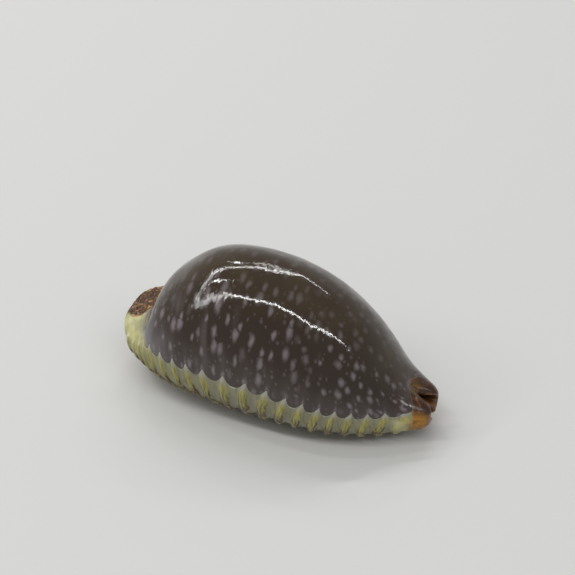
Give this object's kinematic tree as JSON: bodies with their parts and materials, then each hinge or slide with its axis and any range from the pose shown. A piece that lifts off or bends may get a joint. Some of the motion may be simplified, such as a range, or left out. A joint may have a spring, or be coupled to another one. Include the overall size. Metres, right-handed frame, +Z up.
{
  "type": "cowrie shell",
  "caption": "Small hollow cowrie shell with a humped glossy back, short open canals at both ends and a narrow toothed slit along its ribbed base.",
  "frame": {"origin": "on the resting plane, under the middle of the shell's length and width", "axes": "+X towards the siphon (front) end, -X towards the spire end, -Y towards the outer lip, +Z up through the back"},
  "size_m": [0.0252, 0.0134, 0.0115],
  "materials": {
    "shell": "high gloss natural enamel, dark brown-grey with pale lavender spots, orange-brown ends and a pale yellow-green ribbed base"
  },
  "bodies": {
    "root": {"cowrie_shell": "shell"}
  },
  "joints": []
}
